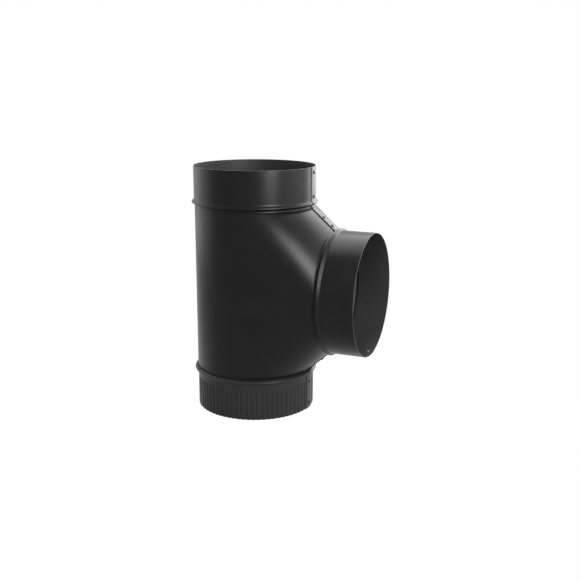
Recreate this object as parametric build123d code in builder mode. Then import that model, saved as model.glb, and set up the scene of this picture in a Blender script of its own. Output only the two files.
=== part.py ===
from build123d import *
import os
from math import asin, atan2, cos, degrees, hypot, pi, sin, tan

os.makedirs("parts", exist_ok=True)

# Stove pipe tee, single wall, of painted steel sheet.
# The run stands along +Z with its crimped end down, the branch points along +X, and the
# origin is the centre of the crimped end's lower edge, on the axis of the run. Millimetres.

# Sheet and duct
sheet = 0.6  # wall of every sheet piece
duct_bore = 152.4  # inside diameter of the two sockets
body_inset = 0.9  # the body's bore is this much smaller in radius than a socket's
spigot_clearance = 0.1  # between the crimped collar's lap and the socket it enters

# Body: one sheet around three equal rings, with shoulders of about 45 degrees
half_run = 104.0  # branch axis to the crease under each run collar
branch_reach = 108.0  # run axis to the crease behind the branch collar
shoulder_strips = 36  # narrow strips that each shoulder is bent in

# Collars, from the lip at the lock to the free edge
socket_length = 47.8
spigot_length = 52.2

# Lock: the body's rim is turned out inside the collar's bead, and the collar's lip is
# turned in behind it
neck_height = 1.5  # crease to lip
neck_step = 0.1  # the body draws in by this much at a crease
lock_gap = 0.15  # between the two sheets
bead_height = 2.7  # how far a bead stands out from a socket's wall
bead_crest = 2.6  # lip to the bead's crest
bead_length = 6.8  # lip to the bead's run-out
rim_crest_gap = 0.4  # body's rim to the inside of the bead's crest

# Lap seams
collar_lap = 16.0
shoulder_lap = 12.0
shoulder_seam_y = 5.0  # middle of the shoulder laps, beside the plane through both axes
socket_seam_angle = 4.3  # middle of each lap, about its collar's axis
branch_seam_angle = 188.0
spigot_seam_angle = 0.8

# Seam rivets
rivet_sides = 12  # enough for so small a rivet to look round
rivet_head_radius = 2.4
rivet_head_height = 1.1
rivet_crown_radius = 1.7
rivet_shank_radius = 1.2
rivet_tail_height = 0.3  # hammered nearly flush, so that a pipe still slides in
rivet_gap = 0.05
socket_rivet_places = (0.11, 0.83)  # shares of the plain wall, from the bead to the edge
spigot_rivet_places = (0.21, 0.84)
shoulder_rivet_places = (0.46, 0.81)  # shares of the way from the run to the branch

# Crimps of the spigot
crimp_count = 72
crimps_left_out = 3  # no crimp is pressed across the lap
crimp_length = 36.0  # full depth, from the free edge
crimp_runout = 4.0
crimp_depth = 1.6
crimp_width = 3.4

# Radii
socket_inner = duct_bore / 2
body_outer = socket_inner - body_inset + sheet
spigot_inner = socket_inner - spigot_clearance - 2 * sheet
spigot_outer = spigot_inner + sheet
neck_outer = body_outer - neck_step
lip_radius = neck_outer + lock_gap
crest_inner = socket_inner + bead_height
rim_crest = crest_inner - rim_crest_gap

# Levels
branch_axis = spigot_length + neck_height + half_run
lower_crease = branch_axis - half_run
upper_crease = branch_axis + half_run

# Slope of the shoulders: the bend at a run crease, and the rest of it at the branch crease
run_bend = atan2(branch_reach - body_outer, half_run - body_outer)
branch_bend = pi / 2 - run_bend

# Ports: each plane lies in its collar's lip and looks out along the collar, and angles
# about the collar are counted from its x direction
top_port = Plane((0, 0, upper_crease + neck_height), x_dir=(1, 0, 0), z_dir=(0, 0, 1))
bottom_port = Plane((0, 0, lower_crease - neck_height), x_dir=(1, 0, 0), z_dir=(0, 0, -1))
branch_port = Plane((branch_reach + neck_height, 0, branch_axis), x_dir=(0, 0, 1), z_dir=(1, 0, 0))


def half_ring(radius):
    """Corners between the strips of a shoulder, on the half ring that it runs from or to."""
    step = pi / shoulder_strips
    return [(radius * sin(n * step), -radius * cos(n * step)) for n in range(shoulder_strips + 1)]


def tee_blank(skin):
    """Solid tee between its creases, bounded by the body's outer face moved out by skin."""
    radius = body_outer + skin
    half_height = half_run + skin * tan(run_bend / 2)
    reach = branch_reach + skin * tan(branch_bend / 2)
    middle = Plane.XY.offset(branch_axis)
    with BuildPart() as blank:
        with BuildSketch(middle.offset(-half_height)):
            with BuildLine():
                CenterArc((0, 0), radius, 90, 180)
                Line((0, -radius), (0, radius))
            make_face()
        extrude(amount=2 * half_height)
        with BuildSketch(Plane((0, 0, branch_axis), x_dir=(1, 0, 0), z_dir=(0, -1, 0))):
            Polygon((0, -half_height), (reach, 0), (0, half_height), align=None)
        extrude(amount=radius, both=True)
        for side in (1, -1):
            with BuildSketch(middle.offset(side * half_height)):
                Polygon(*half_ring(radius), align=None)
            with BuildSketch(Plane((reach, 0, branch_axis), x_dir=(0, 0, side), z_dir=(side, 0, 0))):
                Polygon(*half_ring(radius), align=None)
            loft(ruled=True)
    return blank.part


def at_angle(port, angle):
    """The port's plane, turned about its own axis."""
    return Plane(port.location * Location((0, 0, 0), (0, 0, angle)))


def turned_sheet(port, path, side, thickness=sheet, start=0.0, arc=360.0):
    """Sheet turned about a port's axis; path gives one face as radius and distance out."""
    turned = at_angle(port, start)
    with BuildPart() as ring:
        with BuildSketch(Plane(turned.origin, x_dir=turned.x_dir, z_dir=-turned.y_dir)):
            with BuildLine():
                Polyline(*path)
                offset(amount=thickness, side=side, kind=Kind.INTERSECTION)
            make_face()
        revolve(axis=Axis(port.origin, port.z_dir), revolution_arc=arc)
    return ring.part


def collar_path(bore, length):
    """Inner face of a collar, from its lip to its free edge."""
    return (
        (lip_radius, sheet),
        (crest_inner, bead_crest),
        (bore, bead_length),
        (bore, length),
    )


def collar_blank(port, bore, length, seam_angle):
    """Collar with its locking bead and a second layer of sheet over its lap."""
    path = collar_path(bore, length)
    lap_arc = degrees(collar_lap / bore)
    with BuildPart() as blank:
        add(turned_sheet(port, path, Side.RIGHT))
        add(turned_sheet(port, path, Side.RIGHT, 2 * sheet, seam_angle - lap_arc / 2, lap_arc))
    return blank.part


def collar_seats(port, bore, length, seam_angle, places):
    """Planes under the rivet heads of a collar's lap."""
    turned = at_angle(port, seam_angle)
    foot = turned.origin + turned.x_dir * (bore + 2 * sheet) + turned.z_dir * bead_length
    way = turned.z_dir * (length - bead_length)
    return [Plane(foot + way * place, x_dir=turned.z_dir, z_dir=turned.x_dir) for place in places]


def shoulder_seats(side):
    """Planes under the rivet heads of the upper (1) or lower (-1) shoulder's lap."""
    lean = asin(shoulder_seam_y / body_outer)
    reach = body_outer * cos(lean)
    run_end = Vector(reach, shoulder_seam_y, branch_axis + side * half_run)
    branch_end = Vector(branch_reach, shoulder_seam_y, branch_axis + side * reach)
    normal = Vector(
        cos(lean) * (half_run - reach),
        sin(lean) * (half_run - reach),
        side * cos(lean) * (branch_reach - reach),
    ).normalized()
    way = branch_end - run_end
    return [
        Plane(run_end + way * share + normal * sheet, x_dir=way, z_dir=normal)
        for share in shoulder_rivet_places
    ]


def crimp(grow, mouth_radius, start):
    """One pressed V groove at angle 0, its faces moved into the sheet by grow."""
    flank = crimp_width / 2 / crimp_depth
    foot_radius = spigot_outer - crimp_depth - grow * hypot(1, 1 / flank)
    half_mouth = flank * (mouth_radius - foot_radius)
    runout_normal = Vector(-crimp_runout, 0, crimp_depth).normalized()
    runout_foot = Vector(spigot_outer - crimp_depth, 0, crimp_length) + runout_normal * grow
    with BuildPart() as groove:
        with BuildSketch(Plane.XY.offset(start)):
            Polygon((foot_radius, 0), (mouth_radius, half_mouth), (mouth_radius, -half_mouth), align=None)
        extrude(amount=crimp_length + 2 * crimp_runout - start)
        split(bisect_by=Plane(runout_foot, z_dir=runout_normal), keep=Keep.BOTTOM)
    return groove.part


socket = (socket_inner, socket_length)
spigot = (spigot_inner, spigot_length)
top_seats = collar_seats(top_port, *socket, socket_seam_angle, socket_rivet_places)
branch_seats = collar_seats(branch_port, *socket, branch_seam_angle, socket_rivet_places)
bottom_seats = collar_seats(bottom_port, *spigot, spigot_seam_angle, spigot_rivet_places)
body_seats = shoulder_seats(1) + shoulder_seats(-1)
hole_radius = rivet_shank_radius + rivet_gap
hole_depth = 2 * sheet + rivet_head_height

# The body's rim, its outer face from a crease out into a collar's bead
ports = (top_port, bottom_port, branch_port)
creases = [port.offset(-neck_height) for port in ports]
rim_path = (
    (neck_outer, -neck_height),
    (neck_outer, sheet + lock_gap),
    (rim_crest, bead_crest),
)

# Shoulder laps: the second layer of sheet on both shoulders
with BuildPart() as shoulder_laps:
    with BuildSketch(Plane.XY.offset(lower_crease)):
        with Locations((branch_reach / 2, shoulder_seam_y)):
            Rectangle(branch_reach, shoulder_lap)
    extrude(amount=2 * half_run)
    add(tee_blank(sheet), mode=Mode.INTERSECT)

# Body
with BuildPart() as body:
    add(tee_blank(0))
    add(shoulder_laps.part)
    add(tee_blank(-sheet), mode=Mode.SUBTRACT)
    with BuildSketch(*creases):
        Circle(neck_outer - sheet)
    extrude(amount=-sheet, mode=Mode.SUBTRACT)
    for port in ports:
        add(turned_sheet(port, rim_path, Side.LEFT))
    with BuildSketch(*body_seats):
        RegularPolygon(hole_radius, rivet_sides)
    extrude(amount=-hole_depth, mode=Mode.SUBTRACT)
body.part.label = "body"
export_step(body.part, "parts/body.step")

# Top collar
with BuildPart() as top_collar:
    add(collar_blank(top_port, *socket, socket_seam_angle))
    with BuildSketch(*top_seats):
        RegularPolygon(hole_radius, rivet_sides)
    extrude(amount=-hole_depth, mode=Mode.SUBTRACT)
top_collar.part.label = "top_collar"
export_step(top_collar.part, "parts/top_collar.step")

# Branch collar
with BuildPart() as branch_collar:
    add(collar_blank(branch_port, *socket, branch_seam_angle))
    with BuildSketch(*branch_seats):
        RegularPolygon(hole_radius, rivet_sides)
    extrude(amount=-hole_depth, mode=Mode.SUBTRACT)
branch_collar.part.label = "branch_collar"
export_step(branch_collar.part, "parts/branch_collar.step")

# Crimped collar
crimp_pitch = 360 / crimp_count
crimps_pressed = crimp_count - crimps_left_out
crimp_start = (crimps_left_out + 1) / 2 * crimp_pitch - spigot_seam_angle
crimp_range = (crimps_pressed - 1) * crimp_pitch
with BuildPart() as crimped_collar:
    add(collar_blank(bottom_port, *spigot, spigot_seam_angle))
    with PolarLocations(0, crimps_pressed, crimp_start, crimp_range, endpoint=True):
        add(crimp(sheet, spigot_outer - sheet / 2, 0))
    with PolarLocations(0, crimps_pressed, crimp_start, crimp_range, endpoint=True):
        add(crimp(0, spigot_outer + sheet, -sheet), mode=Mode.SUBTRACT)
    with BuildSketch(*bottom_seats):
        RegularPolygon(hole_radius, rivet_sides)
    extrude(amount=-hole_depth, mode=Mode.SUBTRACT)
crimped_collar.part.label = "crimped_collar"
export_step(crimped_collar.part, "parts/crimped_collar.step")

# Seam rivets
head_slope = degrees(atan2(rivet_head_radius - rivet_crown_radius, rivet_head_height))
with BuildPart() as rivet:
    with BuildSketch():
        RegularPolygon(rivet_head_radius, rivet_sides)
    extrude(amount=rivet_head_height, taper=head_slope)
    with BuildSketch():
        RegularPolygon(rivet_shank_radius, rivet_sides)
    extrude(amount=-2 * sheet - rivet_tail_height)
with BuildPart() as seam_rivets:
    with Locations(*top_seats, *branch_seats, *bottom_seats, *body_seats):
        add(rivet.part)
seam_rivets.part.label = "seam_rivets"
export_step(seam_rivets.part, "parts/seam_rivets.step")
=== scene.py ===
from math import atan2, cos, degrees, pi, radians, sin

import bmesh
import bpy
from mathutils import Matrix, Vector


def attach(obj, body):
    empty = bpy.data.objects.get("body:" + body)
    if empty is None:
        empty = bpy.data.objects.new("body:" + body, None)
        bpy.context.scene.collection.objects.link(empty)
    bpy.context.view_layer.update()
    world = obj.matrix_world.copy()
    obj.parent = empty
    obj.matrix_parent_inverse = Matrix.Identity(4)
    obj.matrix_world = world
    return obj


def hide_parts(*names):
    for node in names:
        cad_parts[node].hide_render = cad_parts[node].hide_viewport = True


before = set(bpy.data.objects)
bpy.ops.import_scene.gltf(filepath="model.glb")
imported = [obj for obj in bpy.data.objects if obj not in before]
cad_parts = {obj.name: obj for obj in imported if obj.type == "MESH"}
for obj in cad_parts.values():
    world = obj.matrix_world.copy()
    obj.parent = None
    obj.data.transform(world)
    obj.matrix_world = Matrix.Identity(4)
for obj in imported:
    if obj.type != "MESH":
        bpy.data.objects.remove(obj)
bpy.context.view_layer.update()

# Stove pipe tee in satin black paint. The meshes are made in millimetres, with the solids'
# main sizes, and each is brought to metres once it is done. The crimps, the rivets, the body's
# rims and the laps on the shoulders differ a little from the solids.
MM = 0.001
SHEET = 0.6
BODY = 75.9  # outside radius of the body's rings
NECK = 75.8
SOCKET = 76.2  # inside radius of the two sockets
SPIGOT = 74.9  # inside radius of the crimped collar
CREST = 78.9  # inside radius of a bead's crest
CREST_OUTSIDE = CREST + 0.7
LIP = 75.95
LIP_OUTSIDE = LIP + 0.34
CREASE = -1.5  # from a collar's lip back to the body's crease
RUN_AXIS = 157.7  # height of the branch's axis
HALF_RUN = 104.0
BRANCH = 108.0
SOCKET_LENGTH = 47.8
SPIGOT_LENGTH = 52.2
BEAD_LENGTH = 6.8
LOCK_GAP = 0.15  # between the body's rim and the collar it sits in

# Laps of the collars, in degrees round each port
LAP_ARC = 12.0
TOP_SEAM = -1.7
BRANCH_SEAM = 182.0

# How finely the pieces are made, and how near counts as the same place
STEPS = 180  # round a turned piece
ROUNDING_STEPS = 4
WELD = 0.002
CRIMP_WELD = 0.01  # between one crimp's wedge and the next
NEAR = 0.02
EDGE_BAND = 0.05  # a face this near a sheet's end is its sheared edge
FACING = 0.05  # least part of a normal that points to or from an axis

# Where the collars sit. A collar's lip lies in its port's plane and its wall grows along z.
TOP = Matrix.Translation((0, 0, RUN_AXIS + HALF_RUN - CREASE))
BOTTOM = Matrix.Translation((0, 0, RUN_AXIS - HALF_RUN + CREASE)) @ Matrix.Rotation(pi, 4, "X")
SIDE = Matrix(((0, 0, 1, BRANCH - CREASE), (0, -1, 0, 0), (1, 0, 0, RUN_AXIS), (0, 0, 0, 1)))


# Meshes


def turn(bm, profile, port, start=0.0, arc=360.0, steps=STEPS, closed=True):
    """Turns a profile about a port's axis. Its corners are radius, distance out and rounding."""
    before = set(bm.verts)
    corners = [bm.verts.new((radius, 0, out)) for radius, out, _ in profile]
    following = corners[1:] + corners[:1] if closed else corners[1:]
    for pair in zip(corners, following):
        bm.edges.new(pair)
    for corner, (_, _, rounding) in zip(corners, profile):
        if rounding:
            bmesh.ops.bevel(
                bm,
                geom=[corner],
                offset=rounding,
                segments=ROUNDING_STEPS,
                profile=0.5,
                affect="VERTICES",
                material=-1,
            )
    line = [v for v in bm.verts if v not in before]
    edges = list({e for v in line for e in v.link_edges})
    first = Matrix.Rotation(radians(start), 3, "Z")
    bmesh.ops.rotate(bm, verts=line, cent=(0, 0, 0), matrix=first)
    bmesh.ops.spin(
        bm,
        geom=line + edges,
        cent=(0, 0, 0),
        axis=(0, 0, 1),
        angle=radians(arc),
        steps=steps,
        use_merge=arc == 360.0,
    )
    turned = [v for v in bm.verts if v not in before]
    bmesh.ops.transform(bm, matrix=port, verts=turned)
    return turned


def distance_out(port, spot):
    """Distance of a spot from a port's plane, along its axis."""
    return (port.inverted() @ spot).z


def ring(bm, port, radius, out):
    """Edges of the circle of that radius, at that distance out from a port."""
    back = port.inverted()
    found = []
    for edge in bm.edges:
        ends = [back @ v.co for v in edge.verts]
        if all(abs(p.z - out) < NEAR and abs(p.xy.length - radius) < NEAR for p in ends):
            found.append(edge)
    return found


def around(port, spot, start):
    """Angle of a spot about a port's axis, counted from start."""
    local = port.inverted() @ spot
    return (degrees(atan2(local.y, local.x)) - start) % 360


def with_borders(faces):
    """Some faces together with their edges and vertices."""
    edges = {e for f in faces for e in f.edges}
    verts = {v for f in faces for v in f.verts}
    return faces + list(edges) + list(verts)


def slice_through(bm, faces, spot, normal):
    """Cuts faces along a plane and keeps both sides."""
    geom = with_borders(faces)
    bmesh.ops.bisect_plane(bm, geom=geom, dist=0.0001, plane_co=spot, plane_no=normal)


def lift_layer(bm, faces):
    """Lifts a second layer off some faces and gives its vertices."""
    raised = bmesh.ops.extrude_face_region(bm, geom=with_borders(faces))["geom"]
    return [v for v in raised if isinstance(v, bmesh.types.BMVert)]


def paint_collar(bm, port, length):
    """Second material on the faces that look at a port's axis, third on the sheared edge."""
    bmesh.ops.recalc_face_normals(bm, faces=bm.faces)
    for face in bm.faces:
        centre = port.inverted() @ face.calc_center_median()
        normal = port.to_3x3().inverted() @ face.normal
        if centre.z > length - EDGE_BAND:
            face.material_index = 2
        elif normal.xy.dot(centre.xy.normalized()) < -FACING:
            face.material_index = 1


def finish_piece(name, bm, paints, nodes, sharp=35.0):
    """Brings a mesh to metres and lets it stand for its CAD nodes."""
    bmesh.ops.remove_doubles(bm, verts=bm.verts, dist=WELD)
    bmesh.ops.recalc_face_normals(bm, faces=bm.faces)
    bmesh.ops.scale(bm, vec=(MM, MM, MM), verts=bm.verts)
    for face in bm.faces:
        face.smooth = True
    for edge in bm.edges:
        edge.smooth = len(edge.link_faces) == 2 and edge.calc_face_angle() < radians(sharp)
    mesh = bpy.data.meshes.new(name)
    bm.to_mesh(mesh)
    bm.free()
    for paint in paints:
        mesh.materials.append(paint)
    piece = bpy.data.objects.new(name, mesh)
    bpy.context.scene.collection.objects.link(piece)
    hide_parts(*nodes)
    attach(piece, "root")


# Materials

# Well below a real paint's index. The white surround is mirrored in the paint, and a real
# index would turn the black to grey.
PAINT_IOR = 1.23


def colour(hex_value):
    """sRGB hex as a linear colour."""
    parts = [int(hex_value[i : i + 2], 16) / 255 for i in (1, 3, 5)]
    linear = [p / 12.92 if p <= 0.04045 else ((p + 0.055) / 1.055) ** 2.4 for p in parts]
    return (*linear, 1)


def add_node(tree, kind, settings=None, inputs=None):
    """Adds a node with its settings, and its inputs as values or links."""
    node = tree.nodes.new(kind)
    for key, value in (settings or {}).items():
        setattr(node, key, value)
    for key, value in (inputs or {}).items():
        if isinstance(value, bpy.types.NodeSocket):
            tree.links.new(value, node.inputs[key])
        else:
            node.inputs[key].default_value = value
    return node


def new_material(name):
    """An empty material and its node tree."""
    material = bpy.data.materials.new(name)
    material.use_nodes = True
    material.node_tree.nodes.clear()
    return material, material.node_tree


def stove_paint(name, dark, light, smooth, rough):
    """High-temperature stove paint, sprayed on sheet steel and baked: near black with a satin
    sheen, faintly clouded where the coat is thin, with the fine grain of the spray and the slow
    waves of rolled sheet under it."""
    material, tree = new_material(name)
    place = add_node(tree, "ShaderNodeTexCoord").outputs["Object"]
    clouds = add_node(
        tree,
        "ShaderNodeTexNoise",
        inputs={"Vector": place, "Scale": 1 / (35 * MM), "Detail": 4.0},
    )
    # A Mix node's colours are its inputs 6 and 7 and its output 2
    tone = add_node(
        tree,
        "ShaderNodeMix",
        {"data_type": "RGBA"},
        {0: clouds.outputs["Fac"], 6: colour(dark), 7: colour(light)},
    )
    sheen = add_node(
        tree,
        "ShaderNodeMapRange",
        inputs={
            "Value": clouds.outputs["Fac"],
            "From Min": 0.3,
            "From Max": 0.7,
            "To Min": smooth,
            "To Max": rough,
        },
    )
    # The spray's grain is about 0.3 mm on the real paint, drawn coarser here so that it shows
    spray = add_node(
        tree,
        "ShaderNodeTexNoise",
        inputs={"Vector": place, "Scale": 1 / (1.1 * MM), "Detail": 3.0},
    )
    grain = add_node(
        tree,
        "ShaderNodeBump",
        inputs={"Height": spray.outputs["Fac"], "Strength": 0.08, "Distance": 0.1 * MM},
    )
    waves = add_node(
        tree,
        "ShaderNodeTexNoise",
        inputs={"Vector": place, "Scale": 1 / (60 * MM), "Detail": 1.0},
    )
    rolled = add_node(
        tree,
        "ShaderNodeBump",
        inputs={
            "Height": waves.outputs["Fac"],
            "Strength": 0.2,
            "Distance": 1.0 * MM,
            "Normal": grain.outputs["Normal"],
        },
    )
    paint = add_node(
        tree,
        "ShaderNodeBsdfPrincipled",
        inputs={
            "Base Color": tone.outputs[2],
            "Roughness": sheen.outputs["Result"],
            "IOR": PAINT_IOR,
            "Normal": rolled.outputs["Normal"],
        },
    )
    add_node(tree, "ShaderNodeOutputMaterial", inputs={"Surface": paint.outputs["BSDF"]})
    return material


def thinly_coated_steel(name, dark, light):
    """Steel at a sheared edge or a rivet's tail, where the paint hardly covers: grey metal, a
    little lighter and darker in patches."""
    material, tree = new_material(name)
    place = add_node(tree, "ShaderNodeTexCoord").outputs["Object"]
    wear = add_node(
        tree,
        "ShaderNodeTexNoise",
        inputs={"Vector": place, "Scale": 1 / (15 * MM), "Detail": 3.0},
    )
    tone = add_node(
        tree,
        "ShaderNodeMix",
        {"data_type": "RGBA"},
        {0: wear.outputs["Fac"], 6: colour(dark), 7: colour(light)},
    )
    steel = add_node(
        tree,
        "ShaderNodeBsdfPrincipled",
        inputs={"Base Color": tone.outputs[2], "Metallic": 1.0, "Roughness": 0.4},
    )
    add_node(tree, "ShaderNodeOutputMaterial", inputs={"Surface": steel.outputs["BSDF"]})
    return material


sheet_paint = stove_paint("satin_black_stove_paint", "#050505", "#090a09", 0.30, 0.36)
# The crimped collar's paint is lighter than the body's. This is a painted reflection: it stands
# in for the bright floor light that the crimps mirror.
crimp_paint_with_painted_floor_light = stove_paint("stove_paint_lightened_as_painted_floor_reflection", "#161616", "#1c1c1c", 0.32, 0.38)
# The faces inside get a lighter and matter paint than the outside.
inner_paint = stove_paint("lighter_matt_stove_paint_inside", "#191919", "#202020", 0.45, 0.55)
rivet_paint = stove_paint("stove_paint_on_rivets", "#080808", "#0e0e0e", 0.28, 0.34)
edge_steel = thinly_coated_steel("sheared_steel_edge", "#5e5e5c", "#747471")
tail_steel = thinly_coated_steel("steel_rivet_tails", "#b0b0ad", "#c8c8c4")

# Body: one sheet round three equal rings, with two ruled shoulders and two flat sides


def rim(bore):
    """Outer face of the body's rim, from its crease into a collar's bead."""
    return [
        (BODY, CREASE, 0),
        (NECK, CREASE + 0.3, 0),
        (NECK, 0.75, 0.3),
        (CREST - 0.4, 3.1, 0.7),
        (bore - LOCK_GAP, BEAD_LENGTH - 0.8, 0.4),
        (bore - LOCK_GAP, BEAD_LENGTH, 0),
    ]


def middle(edge):
    """Middle point of an edge."""
    return (edge.verts[0].co + edge.verts[1].co) / 2


def nearest_vert(bm, spot):
    """The vertex nearest to a spot."""
    return min(bm.verts, key=lambda v: (v.co - spot).length)


body = bmesh.new()
for port, bore in ((TOP, SOCKET), (SIDE, SOCKET), (BOTTOM, SPIGOT)):
    turn(body, rim(bore), port, closed=False)
top_ring, side_ring, low_ring = [ring(body, port, BODY, CREASE) for port in (TOP, SIDE, BOTTOM)]
front_of_top = [e for e in top_ring if middle(e).x > 0]
front_of_low = [e for e in low_ring if middle(e).x > 0]
backs = [e for e in top_ring + low_ring if middle(e).x < 0]
upper_half = [e for e in side_ring if middle(e).z > RUN_AXIS]
lower_half = [e for e in side_ring if middle(e).z < RUN_AXIS]
for loops in (front_of_top + upper_half, front_of_low + lower_half, backs):
    bmesh.ops.bridge_loops(body, edges=loops)
for hand in (-1, 1):
    corners = [
        Vector((0, hand * BODY, RUN_AXIS + HALF_RUN)),
        Vector((0, hand * BODY, RUN_AXIS - HALF_RUN)),
        Vector((BRANCH, hand * BODY, RUN_AXIS)),
    ]
    bmesh.ops.contextual_create(body, geom=[nearest_vert(body, corner) for corner in corners])

# A fine groove beside two creases, where the sheet was bent over the former
GROOVE_START, GROOVE_DEEPEST, GROOVE_END = CREASE - 1.8, CREASE - 0.9, CREASE - 0.4
GROOVE_DEPTH = 0.4

for port in (TOP, SIDE):
    axis = port.to_3x3() @ Vector((0, 0, 1))
    for out in (GROOVE_START, GROOVE_DEEPEST, GROOVE_END):
        by_crease = [
            f
            for f in body.faces
            if any(distance_out(port, v.co) > GROOVE_START - 0.1 for v in f.verts)
        ]
        slice_through(body, by_crease, port @ Vector((0, 0, out)), axis)
    deepest = [v for v in body.verts if abs(distance_out(port, v.co) - GROOVE_DEEPEST) < NEAR]
    pull = (BODY - GROOVE_DEPTH) / BODY
    bmesh.ops.scale(body, vec=(pull, pull, 1), space=port.inverted(), verts=deepest)

# Thickness of the sheet, put on inwards
bmesh.ops.remove_doubles(body, verts=body.verts, dist=WELD)
bmesh.ops.recalc_face_normals(body, faces=body.faces)
for face in bmesh.ops.solidify(body, geom=body.faces[:], thickness=SHEET)["geom"]:
    if isinstance(face, bmesh.types.BMFace):
        face.material_index = 1
for port in (TOP, SIDE, BOTTOM):
    for face in body.faces:
        if distance_out(port, face.calc_center_median()) > BEAD_LENGTH - EDGE_BAND:
            face.material_index = 2

# Lap seam of each shoulder: the upper layer starts at a cut edge and sinks back beyond. It
# stands a little prouder than a sheet, so that the seam shows from a step away.
SEAM_CUT, SEAM_FULL, SEAM_END = -1.0, 8.0, 11.0
SEAM_LIFT = 1.0
SEAM_SPAN = 20  # how far from the middle a shoulder's faces are cut


def on_shoulder(face, side=0):
    """Whether a face is on the outside of a shoulder, near its seam."""
    x, y, z = face.calc_center_median()
    outside = face.material_index == 0 and face.normal.x > 0.3
    near_seam = BODY < x < BRANCH - 0.5 and abs(y) < SEAM_SPAN
    return outside and near_seam and side * (z - RUN_AXIS) >= 0


def off_shoulder(side):
    """Direction straight out of the upper (1) or lower (-1) shoulder."""
    return Vector((HALF_RUN - BODY, 0, side * (BRANCH - BODY))).normalized()


for cut in (SEAM_CUT, SEAM_FULL, SEAM_END):
    slice_through(body, [f for f in body.faces if on_shoulder(f)], (0, cut, 0), (0, 1, 0))
for side in (1, -1):
    shoulder = [f for f in body.faces if on_shoulder(f, side)]
    lap = [f for f in shoulder if SEAM_CUT < f.calc_center_median().y < SEAM_END]
    raised = [v for v in lift_layer(body, lap) if v.co.y < SEAM_FULL + 0.1]
    bmesh.ops.translate(body, vec=off_shoulder(side) * SEAM_LIFT, verts=raised)
finish_piece("tee_body", body, [sheet_paint, inner_paint, edge_steel], ["body"])

# Collars: a lip turned in behind the body's rim, a locking bead, a plain wall and a lap seam


def collar(bore, length, stops=()):
    """Closed profile of a collar, inner face first, with extra stops along its wall."""
    outside = bore + SHEET
    return [
        (LIP, 0.6, 0),
        (CREST, 2.4, 0.4),
        (CREST, 3.4, 0.4),
        (bore, BEAD_LENGTH - 0.6, 1.0),
        *[(bore, out, 0) for out in stops],
        (bore, length, 0.15),
        (outside, length, 0.15),
        *[(outside, out, 0) for out in reversed(stops)],
        (outside, BEAD_LENGTH - 0.4, 1.2),
        (CREST_OUTSIDE, 3.5, 0.7),
        (CREST_OUTSIDE, 2.1, 0.6),
        (LIP_OUTSIDE, 0.1, 0.15),
    ]


def lap_seam(bm, port, bore, start, cut_at_start=True):
    """Second layer of sheet on a collar's outer face: one end a cut edge, the other sunk back."""
    bmesh.ops.recalc_face_normals(bm, faces=bm.faces)
    axis = port.to_3x3() @ Vector((0, 0, 1))
    foot = port.to_translation()
    layer = []
    for face in bm.faces:
        centre = face.calc_center_median()
        away = (centre - foot - axis * (centre - foot).dot(axis)).normalized()
        if around(port, centre, start) < LAP_ARC and face.normal.dot(away) > FACING:
            layer.append(face)
    sunk_end = LAP_ARC if cut_at_start else 0.0
    raised = []
    for vert in lift_layer(bm, layer):
        from_sunk_end = (around(port, vert.co, start) - sunk_end + 180) % 360 - 180
        if abs(from_sunk_end) > 0.5:  # degrees, so that the sunk end itself stays down
            raised.append(vert)
    grown = (bore + 2 * SHEET) / (bore + SHEET)
    bmesh.ops.scale(bm, vec=(grown, grown, 1), space=port.inverted(), verts=raised)


def socket_collar(name, node, port, seam_start):
    """A plain socket at a port, with its lap seam."""
    bm = bmesh.new()
    turn(bm, collar(SOCKET, SOCKET_LENGTH), port, start=seam_start)
    lap_seam(bm, port, SOCKET, seam_start)
    paint_collar(bm, port, SOCKET_LENGTH)
    finish_piece(name, bm, [sheet_paint, inner_paint, edge_steel], [node])


socket_collar("top_socket_collar", "top_collar", TOP, TOP_SEAM)
socket_collar("branch_socket_collar", "branch_collar", SIDE, BRANCH_SEAM)

# Crimped collar: one crimp is pressed into a narrow wedge, which is then repeated. The stretch
# without crimps holds the lap.
CRIMP_PITCH = 5.0
CRIMPS = 69
CRIMP_TOP, CRIMP_FULL = 12.2, 16.2  # run-out of the crimps, from the lip
CRIMP_DEPTH = 1.0
RUNOUT_STEPS = 6
WEDGE_STEPS = 10
FIRST_CRIMP = 8.3  # where the first wedge starts, round the bottom port
PLAIN_ARC = 360 - CRIMPS * CRIMP_PITCH
SPIGOT_SEAM = FIRST_CRIMP - LAP_ARC - 1.5

runout = [
    CRIMP_TOP + (CRIMP_FULL - CRIMP_TOP) * n / RUNOUT_STEPS for n in range(RUNOUT_STEPS + 1)
]
spigot_profile = collar(SPIGOT, SPIGOT_LENGTH, runout)
crimped = bmesh.new()
wedge = turn(
    crimped,
    spigot_profile,
    Matrix(),
    start=FIRST_CRIMP,
    arc=CRIMP_PITCH,
    steps=WEDGE_STEPS,
)
for vert in wedge:
    along = min(max((vert.co.z - CRIMP_TOP) / (CRIMP_FULL - CRIMP_TOP), 0), 1)
    fade = along * along * (3 - 2 * along)
    across = around(Matrix(), vert.co, FIRST_CRIMP) / CRIMP_PITCH
    inward = -vert.co.xy.to_3d().normalized()
    vert.co += inward * CRIMP_DEPTH * fade * sin(pi * across) ** 6
bmesh.ops.spin(
    crimped,
    geom=crimped.verts[:] + crimped.edges[:] + crimped.faces[:],
    cent=(0, 0, 0),
    axis=(0, 0, 1),
    angle=radians(CRIMP_PITCH * (CRIMPS - 1)),
    steps=CRIMPS - 1,
    use_duplicate=True,
)
turn(
    crimped,
    spigot_profile,
    Matrix(),
    start=FIRST_CRIMP - PLAIN_ARC,
    arc=PLAIN_ARC,
    steps=WEDGE_STEPS,
)
bmesh.ops.transform(crimped, matrix=BOTTOM, verts=crimped.verts)
bmesh.ops.remove_doubles(crimped, verts=crimped.verts, dist=CRIMP_WELD)
lap_seam(crimped, BOTTOM, SPIGOT, SPIGOT_SEAM, cut_at_start=False)
paint_collar(crimped, BOTTOM, SPIGOT_LENGTH)
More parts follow.
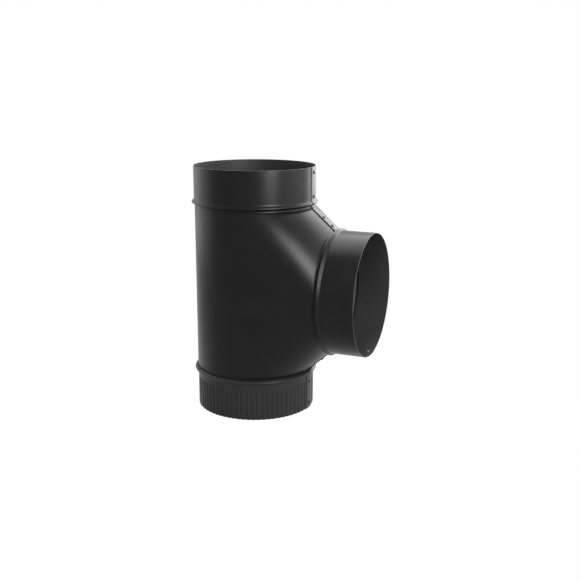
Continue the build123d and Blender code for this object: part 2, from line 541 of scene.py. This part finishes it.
finish_piece(
    "crimped_spigot_collar",
    crimped,
    [crimp_paint_with_painted_floor_light, inner_paint, edge_steel],
    ["crimped_collar"],
)

# Seam rivets: low round heads on the laps, with short tails inside
HEAD_HEIGHT = 1.1
HEAD_RADIUS = 2.4
CROWN_RADIUS = 1.6
SHANK_RADIUS = 1.2
TAIL_HEIGHT = 0.5
RIVET_STEPS = 24
# Places of the rivets: shares of a collar's plain wall from its bead to its edge, and of the
# way along a shoulder from the run to the branch
SOCKET_RIVETS = (0.11, 0.83)
SPIGOT_RIVETS = (0.21, 0.84)
SHOULDER_RIVETS = (0.46, 0.81)
SHOULDER_RIVET_Y = 5.0


def rivet(grip):
    """Profile of a rivet, its head above z = 0 and its tail just through the sheets it grips."""
    return [
        (0, HEAD_HEIGHT, 0),
        (CROWN_RADIUS, HEAD_HEIGHT, 0.9),
        (HEAD_RADIUS, 0.1, 0.1),
        (HEAD_RADIUS, -0.02, 0),
        (SHANK_RADIUS, -0.02, 0),
        (SHANK_RADIUS, -grip - TAIL_HEIGHT, 0.3),
        (0, -grip - TAIL_HEIGHT, 0),
    ]


def seat_on_collar(port, bore, length, seam_start, share):
    """Where a rivet's head sits, in the middle of a collar's lap, its z away from the axis."""
    out = BEAD_LENGTH + (length - BEAD_LENGTH) * share
    spun = Matrix.Rotation(radians(seam_start + LAP_ARC / 2), 4, "Z")
    on_lap = Matrix.Translation((bore + 2 * SHEET, 0, out))
    return port @ spun @ on_lap @ Matrix.Rotation(pi / 2, 4, "Y")


def seat_on_shoulder(side, share):
    """Where a rivet's head sits on a shoulder's lap."""
    reach = (BODY**2 - SHOULDER_RIVET_Y**2) ** 0.5
    run_end = Vector((reach, SHOULDER_RIVET_Y, RUN_AXIS + side * HALF_RUN))
    branch_end = Vector((BRANCH, SHOULDER_RIVET_Y, RUN_AXIS + side * reach))
    up = off_shoulder(side)
    spot = run_end.lerp(branch_end, share) + up * SEAM_LIFT
    return Matrix.Translation(spot) @ up.to_track_quat("Z", "Y").to_matrix().to_4x4()


seats = []
for share in SOCKET_RIVETS:
    seats.append((seat_on_collar(TOP, SOCKET, SOCKET_LENGTH, TOP_SEAM, share), 2 * SHEET))
    seats.append((seat_on_collar(SIDE, SOCKET, SOCKET_LENGTH, BRANCH_SEAM, share), 2 * SHEET))
for share in SPIGOT_RIVETS:
    seats.append((seat_on_collar(BOTTOM, SPIGOT, SPIGOT_LENGTH, SPIGOT_SEAM, share), 2 * SHEET))
for share in SHOULDER_RIVETS:
    for side in (1, -1):
        seats.append((seat_on_shoulder(side, share), SHEET + SEAM_LIFT))
rivets = bmesh.new()
for seat, grip in seats:
    turned = turn(rivets, rivet(grip), seat, steps=RIVET_STEPS, closed=False)
    for face in {f for v in turned for f in v.link_faces}:
        face.material_index = int(distance_out(seat, face.calc_center_median()) < -grip)
finish_piece(
    "lap_seam_rivets",
    rivets,
    [rivet_paint, tail_steel],
    ["seam_rivets"],
    sharp=50.0,
)

# Stage

scene = bpy.context.scene
scene.view_settings.view_transform = "Standard"

floor_mesh = bpy.data.meshes.new("floor")
floor_bm = bmesh.new()
bmesh.ops.create_grid(floor_bm, x_segments=1, y_segments=1, size=6.0)
floor_bm.to_mesh(floor_mesh)
floor_bm.free()
floor = bpy.data.objects.new("floor", floor_mesh)
scene.collection.objects.link(floor)


def seen_as_background(tree):
    """1 for camera, glossy and transmission rays, which all see the white surround."""
    rays = add_node(tree, "ShaderNodeLightPath")
    either = add_node(
        tree,
        "ShaderNodeMath",
        {"operation": "MAXIMUM"},
        {0: rays.outputs["Is Camera Ray"], 1: rays.outputs["Is Glossy Ray"]},
    )
    seen = add_node(
        tree,
        "ShaderNodeMath",
        {"operation": "MAXIMUM"},
        {0: either.outputs[0], 1: rays.outputs["Is Transmission Ray"]},
    )
    return seen.outputs[0]


def white_paper():
    """White studio paper: matt, bright enough to lose its edge, and still taking a soft shadow
    round the foot of the tee."""
    material, tree = new_material("white_studio_paper")
    place = add_node(tree, "ShaderNodeTexCoord").outputs["Object"]
    away = add_node(tree, "ShaderNodeVectorMath", {"operation": "LENGTH"}, {0: place})
    # From 0.1 to 0.5 m away from the middle, the paper's own white takes over from the shadow
    share = add_node(
        tree,
        "ShaderNodeMapRange",
        inputs={
            "Value": away.outputs["Value"],
            "From Min": 0.1,
            "From Max": 0.5,
            "To Min": 0.93,
            "To Max": 1.0,
        },
    )
    matt = add_node(tree, "ShaderNodeBsdfDiffuse", inputs={"Color": colour("#f2f2f2")})
    bright = add_node(
        tree, "ShaderNodeEmission", inputs={"Color": (1, 1, 1, 1), "Strength": 1.0}
    )
    blend = add_node(
        tree,
        "ShaderNodeMath",
        {"operation": "MULTIPLY"},
        {0: seen_as_background(tree), 1: share.outputs["Result"]},
    )
    mix = add_node(
        tree,
        "ShaderNodeMixShader",
        inputs={0: blend.outputs[0], 1: matt.outputs[0], 2: bright.outputs[0]},
    )
    add_node(tree, "ShaderNodeOutputMaterial", inputs={"Surface": mix.outputs[0]})
    return material


floor_mesh.materials.append(white_paper())

# The air lights the tee at 0.3, and is white where it is seen or mirrored
world = bpy.data.worlds.new("studio")
world.use_nodes = True
world.node_tree.nodes.clear()
level = add_node(
    world.node_tree,
    "ShaderNodeMapRange",
    inputs={"Value": seen_as_background(world.node_tree), "To Min": 0.3, "To Max": 1.0},
)
air = add_node(
    world.node_tree,
    "ShaderNodeBackground",
    inputs={"Color": (1, 1, 1, 1), "Strength": level.outputs["Result"]},
)
add_node(world.node_tree, "ShaderNodeOutputWorld", inputs={"Surface": air.outputs[0]})
scene.world = world

LIGHTS_AIM = Vector((0.04, 0, 0.16))


def soft_box(name, turned, height, away, size, watts):
    """A soft light that looks at the tee, turned in degrees round it from the +X side."""
    lamp = bpy.data.lights.new(name, "AREA")
    lamp.shape = "RECTANGLE"
    lamp.size, lamp.size_y = size
    lamp.energy = watts
    round_tee = Vector((cos(radians(turned)), sin(radians(turned)), 0)) * away
    place = Vector((LIGHTS_AIM.x + round_tee.x, round_tee.y, height))
    box = bpy.data.objects.new(name, lamp)
    box.location = place
    box.rotation_euler = (LIGHTS_AIM - place).to_track_quat("-Z", "Y").to_euler()
    box.visible_camera = False
    scene.collection.objects.link(box)


soft_box("front_right_box", -36, 0.96, 1.39, (0.6, 1.25), 56)
soft_box("right_box", 14, 0.8, 1.6, (1.5, 1.6), 22)
soft_box("back_right_box", 68, 0.8, 1.7, (1.6, 1.6), 38)
soft_box("top_back_box", 112, 1.6, 0.8, (1.8, 1.6), 44)
soft_box("left_box", 178, 0.6, 1.6, (1.6, 1.2), 9)

# Camera: where the photograph was taken from
CAMERA_AIM = Vector((0.0482, 0, 0.154))
CAMERA_DISTANCE = 1.0901
AZIMUTH, ELEVATION, ROLL = radians(22.182), radians(13.791), radians(-0.16)

to_camera = Vector(
    (
        sin(AZIMUTH) * cos(ELEVATION),
        -cos(AZIMUTH) * cos(ELEVATION),
        sin(ELEVATION),
    )
)
lens = bpy.data.cameras.new("camera")
lens.sensor_width = 36.0
lens.lens = 53.07
lens.clip_start, lens.clip_end = 0.05, 50
camera = bpy.data.objects.new("camera", lens)
camera.location = CAMERA_AIM + to_camera * CAMERA_DISTANCE
camera.rotation_mode = "QUATERNION"
tilt = Matrix.Rotation(-ROLL, 4, "Z").to_quaternion()
camera.rotation_quaternion = (-to_camera).to_track_quat("-Z", "Y") @ tilt
scene.collection.objects.link(camera)
scene.camera = camera
